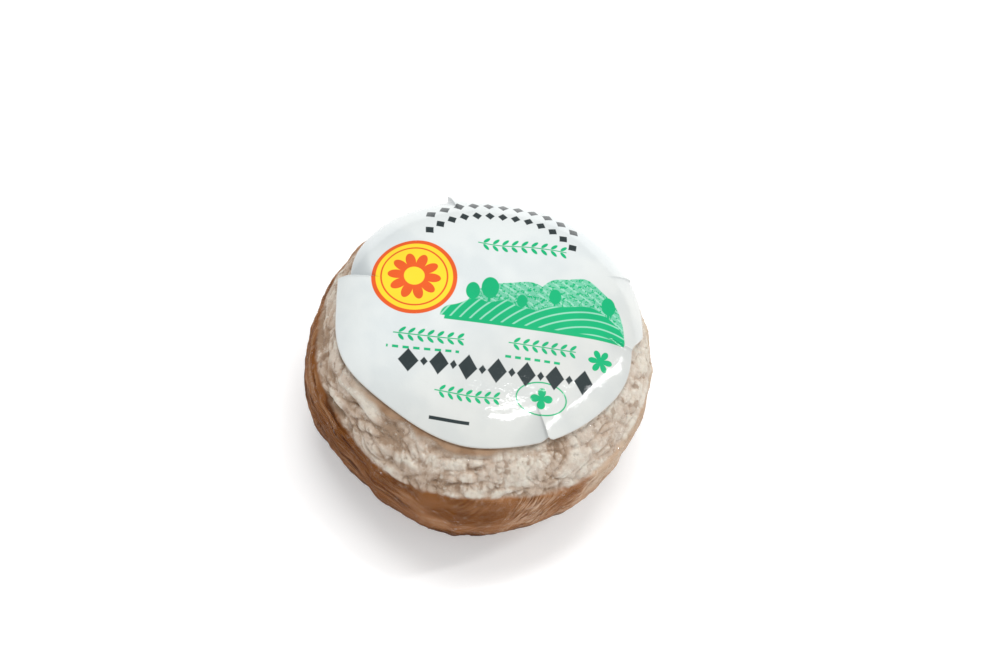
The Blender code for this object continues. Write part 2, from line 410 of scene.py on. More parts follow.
def fine_lumps(theta, length):
    """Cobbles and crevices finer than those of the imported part: share of crack and gap, and depth."""
    spot = round_spot(crowd(theta), 1, length) * 1000
    bend = Vector((noise(spot / 1.7), noise(spot / 1.7 + Vector((4, 2, 7))), 0))
    cell = Vector((spot.x / 2.2, spot.y / 2.2, spot.z / 1.7)) + 0.55 * bend
    near, second = voronoi(cell)[0][:2]
    gap = 1 - ramp(0, 0.42, second - near)
    toward = 0.5 * facing(theta, COBBLED_AT) - 0.35
    cobbled = ramp(-0.25, 0.25, noise(spot / 4 + Vector((8, 1, 5))) + toward)
    level = noise(Vector((spot.x / 3.6, spot.y / 3.6, spot.z / 1.15)) + 0.5 * bend)
    narrow = Vector((spot.x / 1.15, spot.y / 1.15, spot.z / 3.4))
    upright = noise(narrow + 0.4 * bend + Vector((5, 5, 5)))
    right = ramp(-0.1, 0.5, facing(theta, UPRIGHT_AT))
    wrinkle = (1 - min(abs(level + (upright - level) * right) / 0.26, 1)) ** 1.4
    sharp = ramp(0.12, 0, second - near) * max(cobbled, 0.4)
    crack = sharp * ramp(0, 0.3, noise(spot / 1.4 + Vector((1, 4, 9))))
    soft = max(gap * (0.15 + 0.85 * cobbled), 0.75 * wrinkle)
    crumb = 0.8 * noise(spot / 1.6 + bend) + 0.4 * noise(spot / 0.8)
    return crack, soft, WRINKLE_DEPTH * soft + CRACK_DEPTH * crack + CRUMB_DEPTH * (1 + crumb)


def long_valley(theta, length):
    """Long valleys and ridges along the band at the left, from -1 on a ridge to 1 in a valley."""
    run, width = LONG_LUMP
    spot = round_spot(theta, run, length / width)
    bend = noise(spot * 1.3 + Vector((3, 3, 3)))
    left = ramp(-0.1, 0.6, facing(theta, LONG_LUMPS_AT))
    value = noise(spot + Vector((7, 2, 0.5 * bend)))
    return left * min(max(value / 0.35, -1), 1)


def past_label(theta, radius):
    """How far a place lies outside the label's edge, seen from above."""
    return math.hypot(radius * math.cos(theta), radius * math.sin(theta) - LABEL_BACK) - LABEL_REACH


def bare_share(theta, radius):
    """Share of bare brown rind in the strip along the label's edge, at the front left."""
    x, y = radius * math.cos(theta), radius * math.sin(theta)
    beyond = past_label(theta, radius) + BARE_WAVE * noise(Vector((x, y, 0)) * 260)
    toward = ramp(0.66, 0.92, facing(theta, BARE_AT))
    bare_to, gone_at = BARE_WIDTH
    return toward * ramp(gone_at, bare_to, beyond)


def crease_spot(theta, length, sag, width, run):
    """A place in noise whose cells run round the cheese, lower at the front, and are narrow across."""
    return round_spot(theta, run, (length - sag * facing(theta, FRONT)) / width)


def film_folds(theta, length):
    """For each family: a slope whose whole steps are the folds' edges, and how folded the film is."""
    pale = ramp(-0.6, 0.8, -facing(theta, BROWN_AT))
    found = []
    for sag, width, run, steps, share in FOLD_FAMILIES:
        spot = crease_spot(theta, length, sag, width, run) + Vector((sag * 900, width * 5000, 1))
        slope = steps * (noise(spot) + 0.25 * noise(spot * 2.7)) + 8
        patch = noise(spot * 0.55 + Vector((3, 7, 5))) + share + 0.3 * pale
        found.append((slope, ramp(-0.1, 0.22, patch)))
    return found


def drape(theta, length):
    """A place whose third part is level along the film's streaks, which climb at the front right."""
    away = math.radians(degrees_past(theta, STEEPEST_AT))
    over = math.radians(STEEP_OVER)
    root = math.sqrt(math.pi)
    climb = STEEPEST * over * (root / 2 * math.erf(away / over) - away / (2 * root))
    return Vector((math.cos(theta), math.sin(theta), climb)) * RADIUS + Vector((0, 0, length))


def crumple(theta, length):
    """Unevenness of the film down the side, from -1 to 1."""
    spot = round_spot(theta, 1, 0.5 * length) * 1000 / CRUMPLE_RUN
    return min(max(1.5 * noise(spot) + 0.7 * noise(spot * 2.1), -1), 1)


def streaked_shares(theta, length):
    """How full the film is of fine streaks and of long ones."""
    fine = 2.4 * facing(theta, DENSEST_AT) - 2.2
    long = 0.7 * facing(theta, LINED_AT) - 0.38
    patch = 0.4 * noise(drape(theta, length) * 200)
    return ramp(0, 0.25, patch + fine), ramp(0, 0.3, long - 0.6 * patch)


def side_tone(theta, length):
    """Tone of the side from 0, dark brown at the front and left, to 1, pale toward the back; the dark
    front and left are partly painted shade.
    """
    away = abs(degrees_past(theta, BROWN_AT))
    turn = ramp(48, 132, away)
    broad = noise(crease_spot(theta, length, *BROAD_TONE))
    narrow = noise(crease_spot(theta, length, *NARROW_TONE) + Vector((6, 2, 3)))
    tone = 0.06 + 0.12 * ramp(0, 45, away) + 0.55 * turn
    return tone + 0.28 * broad + (0.1 + 0.05 * turn) * narrow


def ring_lengths(section):
    """Distances over the surface of the rings of the rind and the film."""
    edge = section.length_at_height(RIND_EDGE - RIND_EDGE_WAVE)
    lengths = [RINGS_FROM * share for share in HIDDEN_RINGS]
    band = (RINGS_FROM, edge, BAND_RING_STEP)
    side = (edge, section.total, SIDE_RING_STEP)
    for start, end, step in (band, side):
        count = round((end - start) / step)
        lengths += [start + (end - start) * i / count for i in range(count)]
    return lengths + [section.total]


def band_forms(theta, length, radius):
    """Depth of the band's lumps and of its fine relief, and shares of crack, gap and bare rind."""
    bare = bare_share(theta, radius)
    lump = lump_depth(theta, length) * (1 - bare) + 0.1 * LUMP_DEPTH * bare
    crack, gap, fine = fine_lumps(theta, length)
    valley = long_valley(theta, length) * (1 - bare)
    lump += LONG_SHARE * LUMP_DEPTH * max(valley, -0.2)
    return lump, fine * (1 - 0.8 * bare), crack, gap, bare


def hollow_shade(theta):
    """How dark the rind's hollows are in a direction, 1 for most of them: painted light makes them
    paler at the right, and they are a little darker toward the long valleys at the left.
    """
    shade = 1 - 0.45 * ramp(0.65, 0.98, facing(theta, PALEST_AT))
    return shade + 0.1 * ramp(0.55, 0.95, facing(theta, LONG_LUMPS_AT))


def cheese_surfaces(section, shift):
    """Points of the rind and of the film over it, with the values that their materials read."""
    rind, film, values = [], [], {}
    thetas = [2 * math.pi * i / CHEESE_SEGMENTS for i in range(CHEESE_SEGMENTS)]
    spreads = [outline(theta) for theta in thetas]
    for length in ring_lengths(section):
        radius, height = section.at(length)
        out, up = section.outward(length)
        band = ramp(LUMPS_FROM, LUMPS_FROM + LUMPS_GROW, length)
        foot = ramp(0, FOOT, height)
        for theta, spread in zip(thetas, spreads):
            side = side_share(theta, length, height)
            lump, fine, crack, gap, bare = 0, 0, 0, 0, 0
            if side < 1 and band > 0:
                lump, fine, crack, gap, bare = band_forms(theta, length, radius)
            span = span_depth(theta, height) if side > 0 else 0
            folds = film_folds(theta, length)
            raised = sum(share * (slope % 1) for slope, share in folds)
            coarse = band * (1 - side) * lump + side * foot * span
            coarse += LABEL_BED * ramp(0.0002, -0.0005, past_label(theta, radius)) * (1 - side)
            coarse += side * foot * (FILM_FOLD * (1 - raised) + CRUMPLE * crumple(theta, length))
            fine *= band * (1 - side)
            rind_row = (rind, coarse + fine, RIND_BASE)
            film_row = (film, coarse + 0.6 * fine - FILM_GAP, 0)
            for rows, below, floor in (rind_row, film_row):
                reach = (radius - out * below) * spread
                rows.append(set_down(theta, reach, max(height - up * below, floor), shift))
            shade = hollow_shade(theta)
            found = {
                "valley": shade * lump / LUMP_DEPTH,
                "crack": crack * (1 - bare),
                "gap": shade * gap * (1 - bare),
                "brown": side,
                "bare": bare,
                "tone": side_tone(theta, length) if side > 0 else 0.5,
                "slope": (folds[0][0], folds[1][0], 0),
                "folded": (folds[0][1] * side, folds[1][1] * side, 0),
                "drape": tuple(drape(theta, length)),
                "streaked": (*streaked_shares(theta, length), 0),
            }
            for key, number in found.items():
                values.setdefault(key, []).append(number)
    return rind, film, values


def ring_faces(rings, count):
    """Faces of a body made of rings and closed by one point at each end; the end points come last."""
    top, bottom = rings * count, rings * count + 1
    faces = []
    for i in range(count):
        j = (i + 1) % count
        faces.append((top, i, j))
        for ring in range(rings - 1):
            a = ring * count
            b = a + count
            faces.append((a + i, b + i, b + j, a + j))
        end = (rings - 1) * count
        faces.append((end + i, bottom, end + j))
    return faces


def add_object(name, data):
    """A new object in the scene."""
    thing = bpy.data.objects.new(name, data)
    bpy.context.scene.collection.objects.link(thing)
    return thing


def make_piece(name, points, faces, values, material, node):
    """A smooth mesh piece that rides on the root body, with a value a point for its material."""
    mesh = bpy.data.meshes.new(name)
    mesh.from_pydata(points, [], faces)
    for key, numbers in values.items():
        wide = isinstance(numbers[0], tuple)
        attribute = mesh.attributes.new(key, "FLOAT_VECTOR" if wide else "FLOAT", "POINT")
        flat = np.array(numbers, dtype=np.float32).ravel()
        attribute.data.foreach_set("vector" if wide else "value", flat)
    mesh.shade_smooth()
    mesh.materials.append(material)
    piece = add_object(name, mesh)
    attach(piece, "root")
    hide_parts(node)


def fold_height(phi, share):
    """Height of the paper above its rest, at a share of its radius."""
    edge = ramp(0.72, 1, share)
    height = EDGE_LIFT * share ** 6 * (0.5 + 0.5 * math.sin(5 * phi + 1))
    for at, fold, run in FOLDS:
        away = degrees_past(phi, at) / run
        steep = -away / 0.06 if away < 0 else away
        height += fold * edge * max(1 - abs(steep), 0) ** 1.5
    return height


def fold_shade(phi, share):
    """Painted shade in the corner beside a fold: how deep a place of the paper lies in it, from 0 to 1.
    """
    edge = ramp(0.74, 0.98, share)
    deepest = 0
    for at, fold, run in FOLDS:
        away = -degrees_past(phi, at) / run
        if 0 < away < 1.6 * edge:
            deepest = max(deepest, (1 - away / (1.6 * edge)) * fold / FOLDS[0][1])
    return deepest


def label_directions():
    """Directions of the label's mesh lines: evenly round, and close together at its folds."""
    degrees = {360 * i / LABEL_SEGMENTS for i in range(LABEL_SEGMENTS)}
    for at, _, _ in FOLDS:
        degrees |= {(at + beside) % 360 for beside in FOLD_LINES}
    return [math.radians(angle) for angle in sorted(degrees)]


def edge_draw(phi):
    """Share of the radius by which the folds draw the label's edge in."""
    drawn = 0
    for at, run, share, back in EDGE_STEPS:
        away = degrees_past(phi, at) / run
        sharp = back / abs(run)
        if -sharp < away < 1:
            drawn += share * ((1 - away) ** 2 if away > 0 else ramp(-sharp, 0, away))
    return drawn


def ripple(x, y, share):
    """Gentle unevenness of the paper where it follows the rind, stronger toward its edge."""
    spot = Vector((x * 1000 / RIPPLE_RUN, y * 1000 / RIPPLE_RUN, 2))
    rough = noise(spot) + 0.45 * noise(spot * 2.3)
    return RIPPLE * rough * (0.35 + 0.65 * share ** 3)


def label_walk(section, phi):
    """The paper's rest in one direction: distances over it from its middle, and places from above."""
    direction = Vector((math.cos(phi), math.sin(phi)))
    centre = Vector((0, LABEL_BACK))
    walked, places = [0], [centre.copy()]
    height = section.at(section.length_at_radius(centre.length))[1]
    while walked[-1] < LABEL_RADIUS:
        ahead = places[-1] + direction * WALK_STEP
        next_height = section.at(section.length_at_radius(min(ahead.length, RADIUS * 0.9999)))[1]
        walked.append(walked[-1] + math.hypot(WALK_STEP, next_height - height))
        places.append(ahead)
        height = next_height
    return walked, places


def label_points(section, shift):
    """Points of the label's two sides, their places on the flat paper in millimetres, and painted
    shade.
    """
    upper, under, flat, shade = [[[] for _ in range(LABEL_RINGS)] for _ in range(4)]
    for phi in label_directions():
        walked, places = label_walk(section, phi)
        xs, ys = zip(*places)
        drawn = edge_draw(phi)
        for ring in range(LABEL_RINGS):
            share = (ring + 1) / LABEL_RINGS
            reach = LABEL_RADIUS * share * (1 - drawn * share ** 3)
            x, y = [float(np.interp(reach, walked, line)) for line in (xs, ys)]
            theta = math.atan2(y, x)
            length = section.length_at_radius(math.hypot(x, y))
            radius, height = section.at(length)
            out, up = section.outward(length)
            spread = outline(theta)
            rest = LABEL_GAP + fold_height(phi, share) + ripple(x, y, share)
            for rows, raised in ((under, rest), (upper, rest + LABEL_THICKNESS)):
                full = (radius + out * raised) * spread
                rows[ring].append(set_down(theta, full, height + up * raised, shift))
            flat[ring].append((reach * math.cos(phi) * 1000, reach * math.sin(phi) * 1000, 0))
            shade[ring].append(fold_shade(phi, share))
    return upper, under, flat, shade


def build_label(section, shift, material):
    """The paper label as a thin closed sheet."""
    upper, under, flat, shade = label_points(section, shift)
    segments = len(upper[0])
    middle = section.at(LABEL_BACK)[1] + LABEL_GAP
    centre = (shift.x, LABEL_BACK + shift.y)
    points = sum(upper + under[::-1], [])
    points += [(*centre, middle + LABEL_THICKNESS), (*centre, middle)]
    inner = [0] * segments * (LABEL_RINGS - 1)
    values = {
        "paper": sum(flat + flat[::-1], []) + [(0, 0, 0)] * 2,
        "rim": inner + [1] * segments * 2 + inner + [0] * 2,
        "shade": sum(shade + shade[::-1], []) + [0] * 2,
    }
    faces = ring_faces(2 * LABEL_RINGS, segments)
    make_piece("label_sheet", points, faces, values, material, "label")


class Tree:
    """Short calls for building a material or the world out of nodes."""

    def __init__(self, owner):
        owner.use_nodes = True
        self.owner = owner
        self.nodes = owner.node_tree.nodes
        self.links = owner.node_tree.links
        self.nodes.clear()
        kind = "World" if isinstance(owner, bpy.types.World) else "Material"
        self.output = self.nodes.new("ShaderNodeOutput" + kind)

    def put(self, socket, value):
        """Feed a socket from another node's output, or set it."""
        if isinstance(value, bpy.types.NodeSocket):
            self.links.new(value, socket)
        elif socket.type == "RGBA" and len(value) == 3:
            socket.default_value = (*value, 1)
        else:
            socket.default_value = value

    def add(self, kind, inputs, **settings):
        """A new node with its settings and inputs."""
        node = self.nodes.new(kind)
        for key, value in settings.items():
            setattr(node, key, value)
        for key, value in inputs.items():
            self.put(node.inputs[key], value)
        return node

    def math(self, operation, *values, clamp=False):
        """A number worked out of others."""
        node = self.add("ShaderNodeMath", dict(enumerate(values)), operation=operation, use_clamp=clamp)
        return node.outputs[0]

    def times(self, first, second):
        return self.math("MULTIPLY", first, second)

    def parts(self, vector):
        """The three numbers of a vector."""
        return self.add("ShaderNodeSeparateXYZ", {0: vector}).outputs

    def mix(self, share, first, second, blend="MIX"):
        """Blend of two colours."""
        inputs = {0: share, 6: first, 7: second}
        return self.add("ShaderNodeMix", inputs, data_type="RGBA", blend_type=blend).outputs[2]

    def layered(self, colour, layers, blend="MIX"):
        """A colour with others laid over it, each where its mask is."""
        for mask, over in layers:
            colour = self.mix(mask, colour, over, blend)
        return colour

    def value(self, name):
        """A value that the mesh holds for each point."""
        return self.add("ShaderNodeAttribute", {}, attribute_name=name).outputs["Fac"]

    def vector(self, name):
        """Three values that the mesh holds for each point."""
        return self.add("ShaderNodeAttribute", {}, attribute_name=name).outputs["Vector"]

    def span(self, value, low, high, to_low=0, to_high=1):
        """Map a range to another one, with soft ends."""
        inputs = {0: value, 1: low, 2: high, 3: to_low, 4: to_high}
        return self.add("ShaderNodeMapRange", inputs, interpolation_type="SMOOTHSTEP").outputs[0]

    def noise(self, vector, scale, detail=3, roughness=0.55):
        """Noise from 0 to 1, whose cells are one unit of the vector over the scale."""
        inputs = {"Vector": vector, "Scale": scale, "Detail": detail, "Roughness": roughness}
        return self.add("ShaderNodeTexNoise", inputs).outputs[0]

    def place(self):
        """The point's place in the object's own frame, in metres."""
        return self.add("ShaderNodeTexCoord", {}).outputs["Object"]

    def stretched(self, vector, scale):
        """A vector with each of its numbers scaled."""
        return self.add("ShaderNodeVectorMath", {0: vector, 1: scale}, operation="MULTIPLY").outputs[0]

    def bump(self, height, distance, strength=1, normal=None):
        """The surface's direction, tilted by the slopes of a height."""
        inputs = {"Height": height, "Distance": distance, "Strength": strength}
        if normal is not None:
            inputs["Normal"] = normal
        return self.add("ShaderNodeBump", inputs).outputs[0]

    def finish(self, shader):
        """The material or world, once a shader feeds it."""
        self.put(self.output.inputs["Surface"], shader.outputs[0])
        return self.owner


def fold_steps(tree):
    """For each family of folds: a rise from 0 at a fold's foot to 1 at its edge, and its share."""
    slopes = tree.parts(tree.vector("slope"))
    shares = tree.parts(tree.vector("folded"))
    return [(tree.math("FRACT", slopes[i]), shares[i]) for i in range(len(FOLD_FAMILIES))]


def folds_between(tree, low, high):
    """The part of each fold whose rise lies toward the second of two values, from 0 to 1."""
    parts = [tree.times(tree.span(rise, low, high), share) for rise, share in fold_steps(tree)]
    return tree.math("MAXIMUM", *parts)


def streaks(tree, size):
    """Noise drawn out along the streaks of the film."""
    run, width = size
    scale = (1 / run, 1 / run, 1 / width)
    return tree.noise(tree.stretched(tree.vector("drape"), scale), 1, 2)


def lump_colour(tree, place, speck, blotch):
    """Cream tops, pinkish slopes, brown hollows and dark crevices."""
    cloud = tree.noise(place, 170, 4)
    hollow = tree.span(cloud, 0.35, 0.68, -0.2, 0.3)
    hollow = tree.math("MULTIPLY_ADD", tree.value("valley"), 0.82, hollow)
    hollow = tree.math("MULTIPLY_ADD", tree.value("gap"), 0.3, hollow)
    crinkle = tree.math("ABSOLUTE", tree.math("SUBTRACT", tree.noise(place, 760, 2), 0.5))
    pit = tree.span(tree.noise(tree.stretched(place, (1, 1, 0.55)), 640, 2), 0.43, 0.33)
    pit = tree.times(pit, tree.span(tree.noise(place, 230, 2), 0.44, 0.56, 0, 0.6))
    lined = tree.times(tree.parts(tree.vector("streaked"))[1], tree.span(cloud, 0.42, 0.55, 0.1, 0.75))
    layers = (
        (tree.span(hollow, 0.25, 0.65), SLOPE),
        (tree.span(hollow, 0.6, 1), HOLLOW),
        (tree.span(speck, 0.56, 0.72, 0, 0.45), PALE_SPECK),
        (tree.span(speck, 0.44, 0.3, 0, 0.22), DARK_SPECK),
        (tree.span(crinkle, 0.022, 0, 0, 0.15), CRINKLE),
        (tree.times(tree.value("crack"), 0.5), CREVICE),
        (pit, PIT),
        (tree.times(tree.span(streaks(tree, CREASE), 0.42, 0.34), lined), CREASED),
        (tree.value("bare"), tree.mix(tree.span(blotch, 0.4, 0.65), *BARE_RIND)),
    )
    return tree.layered(tree.mix(tree.span(blotch, 0.38, 0.62), CREAM, DULL_CREAM), layers)


def streak_masks(tree, tone):
    """Where the side has dark streaks, and where it has pale ones: partly painted shade and painted
    highlights of the film's creases.
    """
    fine, long = streaks(tree, FINE_STREAK), streaks(tree, LONG_STREAK)
    fine_share, long_share = tree.parts(tree.vector("streaked"))[:2]
    dark = tree.times(tree.span(fine, 0.455, 0.395), fine_share)
    dark = tree.math("MAXIMUM", dark, tree.times(tree.span(long, 0.47, 0.4), long_share))
    pale = tree.times(tree.span(fine, 0.545, 0.6), fine_share)
    long_pale = tree.times(tree.span(long, 0.57, 0.67), tree.span(long_share, 0, 1, 0.15, 0.6))
    pale = tree.math("MAXIMUM", pale, long_pale)
    # Pale lines along the edges of the film's folds: painted highlights
    pale = tree.math("MAXIMUM", pale, tree.times(folds_between(tree, 0.85, 0.99), 0.25))
    return tree.times(dark, tree.span(tone, 0.3, 0.65, 0.95, 0.55)), tree.times(pale, 0.72)


def side_colour(tree, place):
    """Brown rind with the thin dark and pale lines of the folded film over it, partly painted shade and
    highlights, and painted shade toward its foot.
    """
    tone = tree.value("tone")
    grain = tree.span(streaks(tree, GRAIN_STREAK), 0.36, 0.6, 1, 0)
    grain = tree.times(grain, tree.span(tone, 0.15, 0.55, 0.25, 0.06))
    mottle = tree.span(tree.noise(place, 300, 4, 0.6), 0.52, 0.32, 0, 0.6)
    crust = tree.span(tree.noise(place, 900), 0.55, 0.72, 0, tree.span(tone, 0.15, 0.55, 0.12, 0.45))
    dark, pale = streak_masks(tree, tone)
    # Painted shade toward the foot: the side darkens from 11 mm down to 6 mm, and less again at the
    # very bottom
    height = tree.parts(place)[2]
    foot = tree.times(tree.span(height, 0.011, 0.006), tree.span(height, 0.0002, 0.003, 0.2, 1))
    side = tree.mix(tree.span(tone, 0, 0.45), SIDE_DARK, SIDE_BROWN)
    side = tree.mix(tree.span(tone, 0.22, 0.85), side, SIDE_TAN)
    side = tree.layered(side, ((grain, GRAIN_TINT), (mottle, MOTTLE_TINT)), "MULTIPLY")
    side = tree.mix(crust, side, CRUST)
    side = tree.mix(dark, side, STREAK_TINT, "MULTIPLY")
    side = tree.mix(pale, side, tree.mix(tree.span(tone, 0.1, 0.6), *PALE_STREAK))
    return tree.mix(foot, side, FOOT_PAINTED_SHADE, "MULTIPLY")


def rind_material():
    """Chalky lumps with brownish hollows, turning to streaked brown rind below the shoulder."""
    tree = Tree(bpy.data.materials.new("filmed_rind"))
    place = tree.place()
    speck = tree.noise(place, 1100)
    blotch = tree.noise(place, 420)
    lump = lump_colour(tree, place, speck, blotch)
    ragged = tree.math("ADD", tree.value("brown"), tree.span(blotch, 0.3, 0.7, -0.14, 0.14))
    grain = tree.math("MULTIPLY_ADD", tree.noise(place, 2600, 2), 0.4, speck)
    rough = tree.bump(grain, GRAIN_BUMP, tree.span(tree.value("brown"), 0, 1, 0.5, 0.35))
    shader = tree.add("ShaderNodeBsdfPrincipled", {
        "Base Color": tree.mix(tree.span(ragged, 0.1, 0.9), lump, side_colour(tree, place)),
        "Roughness": 0.75,
        "Specular IOR Level": 0.05,
        "Normal": tree.bump(folds_between(tree, 0, 1), RIND_FOLD_BUMP, 1, rough),
        "Subsurface Weight": 0.1,
        "Subsurface Radius": (0.9, 0.6, 0.4),
        "Subsurface Scale": 0.001,
    })
    return tree.finish(shader)


def film_material():
    """Clear film, which adds gloss, and glints on its folds, to what lies behind."""
    tree = Tree(bpy.data.materials.new("clear_film"))
    place = tree.place()
    ripple = tree.bump(tree.noise(place, 1500), FILM_BUMP, 0.8)
    normal = tree.bump(folds_between(tree, 0, 1), FILM_FOLD_BUMP, 1, ripple)
    glint = tree.span(tree.noise(place, 1900, 2), 0.6, 0.72, 0, 0.25)
    glint = tree.times(glint, tree.span(tree.noise(place, 210, 2), 0.45, 0.65))
    edge = tree.times(folds_between(tree, 0.7, 1), 0.012)
    shine = tree.math("ADD", tree.math("MAXIMUM", glint, edge), 0.008)
    clear = tree.add("ShaderNodeBsdfTransparent", {"Color": WHITE})
    gloss = tree.add("ShaderNodeBsdfAnisotropic", {"Color": WHITE, "Roughness": 0.14, "Normal": normal})
    both = {0: shine, 1: clear.outputs[0], 2: gloss.outputs[0]}
    return tree.finish(tree.add("ShaderNodeMixShader", both))


class Print:
    """Shapes of the label's print, as masks from 0 to 1 over the flat paper in millimetres."""

    def __init__(self, tree):
        self.tree = tree
        self.paper = tree.vector("paper")
        inputs = {"Vector": self.paper, "Angle": -math.radians(PRINT_TURN)}
        turned = tree.add("ShaderNodeVectorRotate", inputs, rotation_type="Z_AXIS")
        self.x, self.y = tree.parts(turned.outputs[0])[:2]
        self.radius = self.reach((self.x, self.y))
        self.angle = self.join("ARCTAN2", self.x, self.y)

    def join(self, operation, *values):
        return self.tree.math(operation, *values)

    def reach(self, place):
        """How far a place lies from nought."""
        squares = [self.join("MULTIPLY", part, part) for part in place]
        return self.join("SQRT", self.join("ADD", *squares))

    def inside(self, distance, soft=EDGE_SOFT):
        """1 where a distance to a shape's edge is below nought."""
        scaled = self.join("MULTIPLY_ADD", distance, -1 / soft, 0.5)
        return self.tree.math("ADD", scaled, 0, clamp=True)

    def away(self, x, y):
        """Places measured from another point."""
        return self.join("SUBTRACT", self.x, x), self.join("SUBTRACT", self.y, y)

    def over(self, place, halves):
        """A place as shares of half a shape's width and height."""
        return [self.join("DIVIDE", part, half) for part, half in zip(place, halves)]

    def past(self, value, half):
        """How far a value lies past a half width, to either side."""
        return self.join("SUBTRACT", self.join("ABSOLUTE", value), half)

    def oval(self, place, *halves):
        reach = self.join("SUBTRACT", self.reach(self.over(place, halves)), 1)
        return self.inside(self.join("MULTIPLY", reach, min(halves)))

    def lozenge(self, place, *halves):
        sizes = [self.join("ABSOLUTE", part) for part in place]
        reach = self.join("SUBTRACT", self.join("ADD", *self.over(sizes, halves)), 1)
        return self.inside(self.join("MULTIPLY", reach, min(halves) * 0.7))

    def bar(self, place, *halves):
        return self.inside(self.join("MAXIMUM", *map(self.past, place, halves)))

    def bar_at(self, point, *halves):
        return self.bar(self.away(*point), *halves)

    def either(self, *masks):
        return reduce(partial(self.join, "MAXIMUM"), masks)

    def both(self, *masks):
        return reduce(partial(self.join, "MULTIPLY"), masks)

    def any_of(self, draw, shapes):
        """One mask of several shapes that are drawn the same way."""
        return self.either(*[draw(*shape) for shape in shapes])

    def without(self, mask, hole):
        return self.both(mask, self.join("SUBTRACT", 1, hole))

    def repeat(self, value, pitch):
        """A place within its cell of a row, from minus to plus half the pitch."""
        return self.join("WRAP", value, pitch / 2, -pitch / 2)

    def within(self, value, half):
        """1 where a value is no further than this from nought."""
        return self.inside(self.past(value, half))

    def arc_row(self, radius, count, pitch, wide, high):
        """Lozenges in an arc over the top of the label, as many to each side of the middle one."""
        along = self.join("MULTIPLY", self.angle, radius)
        across = self.join("SUBTRACT", self.radius, radius)
        shape = self.lozenge((self.repeat(along, pitch), across), wide, high)
        return self.both(shape, self.within(along, (count + 0.5) * pitch))

    def sprig(self, x, y, count, leaf):
        """A level stem with pairs of slanting leaves, as many to each side of the middle pair."""
        place = self.away(x, y)
        pitch = leaf * 1.5
        rise = self.join("ABSOLUTE", place[1])
        slant = self.join("MULTIPLY_ADD", rise, -0.7, place[0])
        middle = (self.repeat(slant, pitch), self.join("SUBTRACT", rise, leaf * 0.62))
        leaves = self.oval(middle, leaf * 0.36, leaf * 0.5)
        leaves = self.both(leaves, self.within(slant, (count + 0.5) * pitch))
        return self.either(leaves, self.bar(place, (count + 0.6) * pitch, 0.09))

    def hill(self, x, y, wide, high, wave):
        """The part of an oval above a level line, with a slightly wavy top."""
        place = self.away(x, y)
        lift = self.join("MULTIPLY", self.join("SINE", self.join("MULTIPLY", place[0], wave)), 0.25)
        raised = self.join("SUBTRACT", place[1], lift)
        above = self.inside(self.join("MULTIPLY", place[1], -1))
        return self.both(self.oval((place[0], raised), wide, high), above)

    def tree_shape(self, x, y, size):
        """An oval crown on a short trunk."""
        crown = self.oval(self.away(x, y + size * 1.25), size * 0.72, size)
        return self.either(crown, self.bar(self.away(x, y + size * 0.2), size * 0.12, size * 0.5))

    def flower(self, x, y, petals, inner, outer):
        """A round flower whose edge swings between two radii."""
        place = self.away(x, y)
        turn = self.join("MULTIPLY", self.join("ARCTAN2", place[1], place[0]), petals / 2)
        swing = self.join("ABSOLUTE", self.join("COSINE", turn))
        edge = self.join("MULTIPLY_ADD", self.join("POWER", swing, 0.7), outer - inner, inner)
        return self.inside(self.join("SUBTRACT", self.reach(place), edge))

    def furrows(self, value, closeness, raised):
        """Soft lines across the way in which a value rises."""
        wave = self.join("SINE", self.join("MULTIPLY", value, closeness))
        return self.inside(self.join("ADD", wave, raised), 0.3)


def green_mask(art, near, far):
    """What is printed green: near hills, woods, trees, ground, sprigs, flowers and broken lines."""
    trees = art.any_of(art.tree_shape, TREES)
    sprigs = art.any_of(art.sprig, SPRIGS)
    flowers = art.any_of(art.flower, FLOWERS)
    middle = art.away(*FLOWERS[0][:2])
    outer, inner = [art.oval(middle, *edge) for edge in FLOWER_RING]
    flowers = art.either(flowers, art.without(outer, inner))
    woods = art.both(far, art.tree.span(art.tree.noise(art.paper, 1.7, 4, 0.7), 0.52, 0.56))
    dashes = art.within(art.repeat(art.x, DASH_PITCH), DASH_HALF)
    dashes = art.both(dashes, art.any_of(art.bar_at, DASHED))
    return art.either(near, trees, art.bar_at(*GROUND), sprigs, flowers, woods, dashes)


def dark_mask(art):
    """What is printed dark: a row and two arcs of lozenges, and a rule."""
    along, across = art.away(*ROW_AT)
    large = art.lozenge((art.repeat(along, ROW_PITCH), across), *LARGE_LOZENGE)
    between = art.join("ADD", along, ROW_PITCH / 2)
    small = art.lozenge((art.repeat(between, ROW_PITCH), across), *SMALL_LOZENGE)
    row = art.both(art.either(large, small), art.within(along, ROW_HALF))
    return art.either(row, art.bar_at(*RULE), art.any_of(art.arc_row, ARCS))


def badge_layers(art):
    """Masks and colours of the badge: an edge, a field, a flower in a thin ring, and its heart."""
    badge = art.away(*BADGE_AT)
    shares = (1, BADGE_FIELD, *BADGE_LINE, BADGE_HEART)
    radii = [BADGE_RADIUS * share for share in shares]
    edge, field, outer, inner, heart = [art.oval(badge, radius, radius) for radius in radii]
    flower = art.flower(*BADGE_AT, *BADGE_FLOWER)
    line = art.without(outer, inner)
    return (edge, ORANGE), (field, YELLOW), (art.either(flower, line), ORANGE), (heart, YELLOW)


